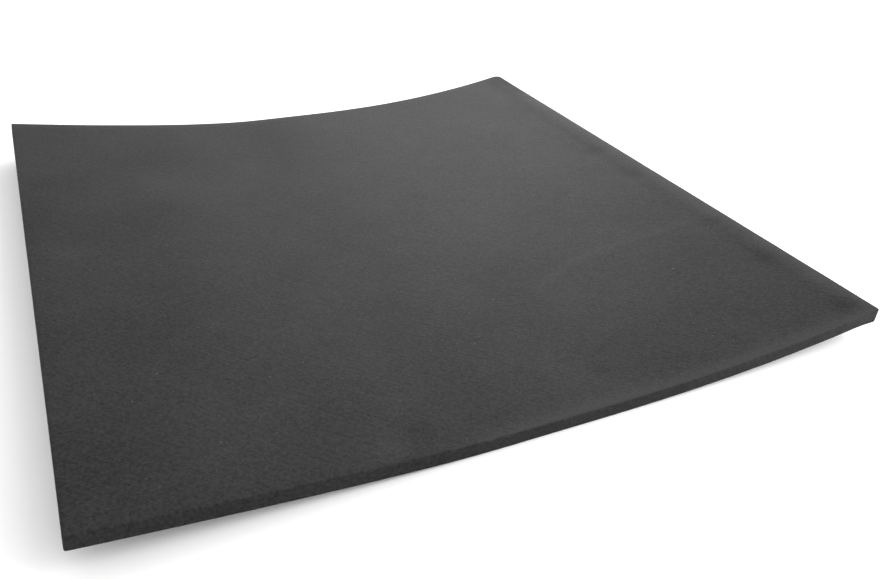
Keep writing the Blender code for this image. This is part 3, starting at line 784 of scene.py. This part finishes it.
moulding = worn_material("black_moulding", (0.016, 0.016, 0.016), (0.045, 0.045, 0.046), 0.45)
inlet.data.materials.append(moulding)

# ---------------------------------------------------------------------------------------------------
# Junction box. Tray and lid are the same black polypropylene as the inlet. They lie flat in a notch in
# the foam and close over the splices.
def dress(material, *node_names):
    """Give CAD nodes that are shown as they are their finished material."""
    for name in node_names:
        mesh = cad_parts[name].data
        mesh.materials.clear()
        mesh.materials.append(material)


dress(moulding, "junction_tray", "junction_lid")

# ---------------------------------------------------------------------------------------------------
# Crimps. Short tubes of tinned copper, pressed round the cores of the heater and of the lead.
dress(worn_material("tinned_copper", (0.46, 0.45, 0.42), (0.78, 0.76, 0.72), 0.34, 1.0, 2600.0, 300.0),
      "crimp_heater_live", "crimp_supply_live", "crimp_heater_neutral")

# ---------------------------------------------------------------------------------------------------
# Sleeves. Woven glass, slipped over each crimp, and a flat one over the over-temperature fuse.
braid, tree, shader = new_material("glass_sleeving", 0.55)
place = object_place(tree)
weave = place_group(tree, weave_group, place, Yarn_Width=0.0004)
shade = calc(tree, "MULTIPLY_ADD", weave["Fibre"], 0.4, calc(tree, "MULTIPLY", weave["Height"], 0.6))
tree.links.new(mix_colour(tree, shade, (0.42, 0.38, 0.28), (0.84, 0.80, 0.68)), shader.inputs["Base Color"])
add_bump(tree, shader, weave["Height"], 0.0001)
dress(braid, "sleeve_heater_live", "sleeve_supply_live", "sleeve_heater_neutral", "fuse_sleeve")

# ---------------------------------------------------------------------------------------------------
# Thermal fuse. An unglazed ceramic body with its two leads, in series with the live side of the heater.
dress(worn_material("fuse_ceramic", (0.48, 0.46, 0.42), (0.72, 0.70, 0.66), 0.5, 0.0, 3200.0, 240.0),
      "thermal_fuse")

# ---------------------------------------------------------------------------------------------------
# Heating wire. A resistance wire in red silicone runs to and fro between two clear polyester films.
# The pair is one heater sheet.
dress(worn_material("silicone_wire", (0.34, 0.030, 0.016), (0.62, 0.085, 0.045), 0.5, 0.0, 2400.0, 40.0),
      "heating_wire")
film, tree, shader = new_material("heater_film", 0.32)
place = object_place(tree)
haze = grain(tree, place, 22, 4.0, 0.6)
tree.links.new(mix_colour(tree, haze, (0.60, 0.57, 0.50), (0.80, 0.78, 0.73)), shader.inputs["Base Color"])
tree.links.new(calc(tree, "MULTIPLY_ADD", haze, 0.25, 0.20), shader.inputs["Roughness"])
add_bump(tree, shader, grain(tree, place, 60, 3.0, 0.5), 0.0006)
dress(film, "heater_film_upper", "heater_film_lower")

# ---------------------------------------------------------------------------------------------------
# Foil. Thin rolled aluminium that has been handled, so it is finely creased. It sends the heat up.
foil, tree, shader = new_material("aluminium_foil", 0.24, 1.0)
place = object_place(tree)
creases = tree.nodes.new("ShaderNodeTexVoronoi")
creases.feature = "DISTANCE_TO_EDGE"
creases.inputs["Scale"].default_value = 70
tree.links.new(place, creases.inputs["Vector"])
brushed = grain(tree, place, 900, 3.0, 0.6)
tree.links.new(mix_colour(tree, brushed, (0.74, 0.75, 0.76), (0.92, 0.93, 0.94)),
               shader.inputs["Base Color"])
add_bump(tree, shader, creases.outputs["Distance"], 0.0012, 0.6)
dress(foil, "foil_reflector")

# ---------------------------------------------------------------------------------------------------
# Foam. Closed-cell polyethylene, cut from a sheet, that keeps the heat from the bench and gives the
# mat its body. Its skin shows small cells.
foam, tree, shader = new_material("closed_cell_foam", 0.85, specular=0.2)
place = object_place(tree)
cells = tree.nodes.new("ShaderNodeTexVoronoi")
cells.inputs["Scale"].default_value = 900
tree.links.new(place, cells.inputs["Vector"])
tree.links.new(mix_colour(tree, cells.outputs["Distance"], (0.26, 0.26, 0.27), (0.11, 0.11, 0.115)),
               shader.inputs["Base Color"])
add_bump(tree, shader, cells.outputs["Distance"], 0.0004)
dress(foam, "foam_core")

# ---------------------------------------------------------------------------------------------------
# Bench and light. A white bench, a pale room and two large soft lamps, one over the back right corner
# and a lower one off the front right corner.
floor_mesh = bmesh.new()
bmesh.ops.create_grid(floor_mesh, x_segments=1, y_segments=1, size=4,
                      matrix=Matrix.Translation((0, 0, -0.0001)))
floor_data = bpy.data.meshes.new("bench")
floor_mesh.to_mesh(floor_data)
floor_mesh.free()
floor = bpy.data.objects.new("bench", floor_data)
bpy.context.collection.objects.link(floor)
paint, tree, shader = new_material("bench_white", 0.9, specular=0.1)
shader.inputs["Base Color"].default_value = (0.92, 0.92, 0.92, 1)
floor_data.materials.append(paint)

world = bpy.data.worlds.new("room")
world.use_nodes = True
world.node_tree.nodes["Background"].inputs["Color"].default_value = (1, 1, 1, 1)
world.node_tree.nodes["Background"].inputs["Strength"].default_value = 1.06
bpy.context.scene.world = world
bpy.context.scene.view_settings.view_transform = "Standard"


def add_lamp(name, place, target, size, power):
    data = bpy.data.lights.new(name, "AREA")
    data.shape = "DISK"
    data.size = size
    data.energy = power
    lamp = bpy.data.objects.new(name, data)
    lamp.location = place
    lamp.rotation_euler = (Vector(place) - Vector(target)).to_track_quat("Z", "Y").to_euler()
    bpy.context.collection.objects.link(lamp)


add_lamp("key", (0.82, 1.20, 0.85), (0.20, 0.05, 0), 1.2, 20.5)
add_lamp("fill", (1.05, -0.85, 0.60), (0.15, -0.10, 0), 1.0, 20)
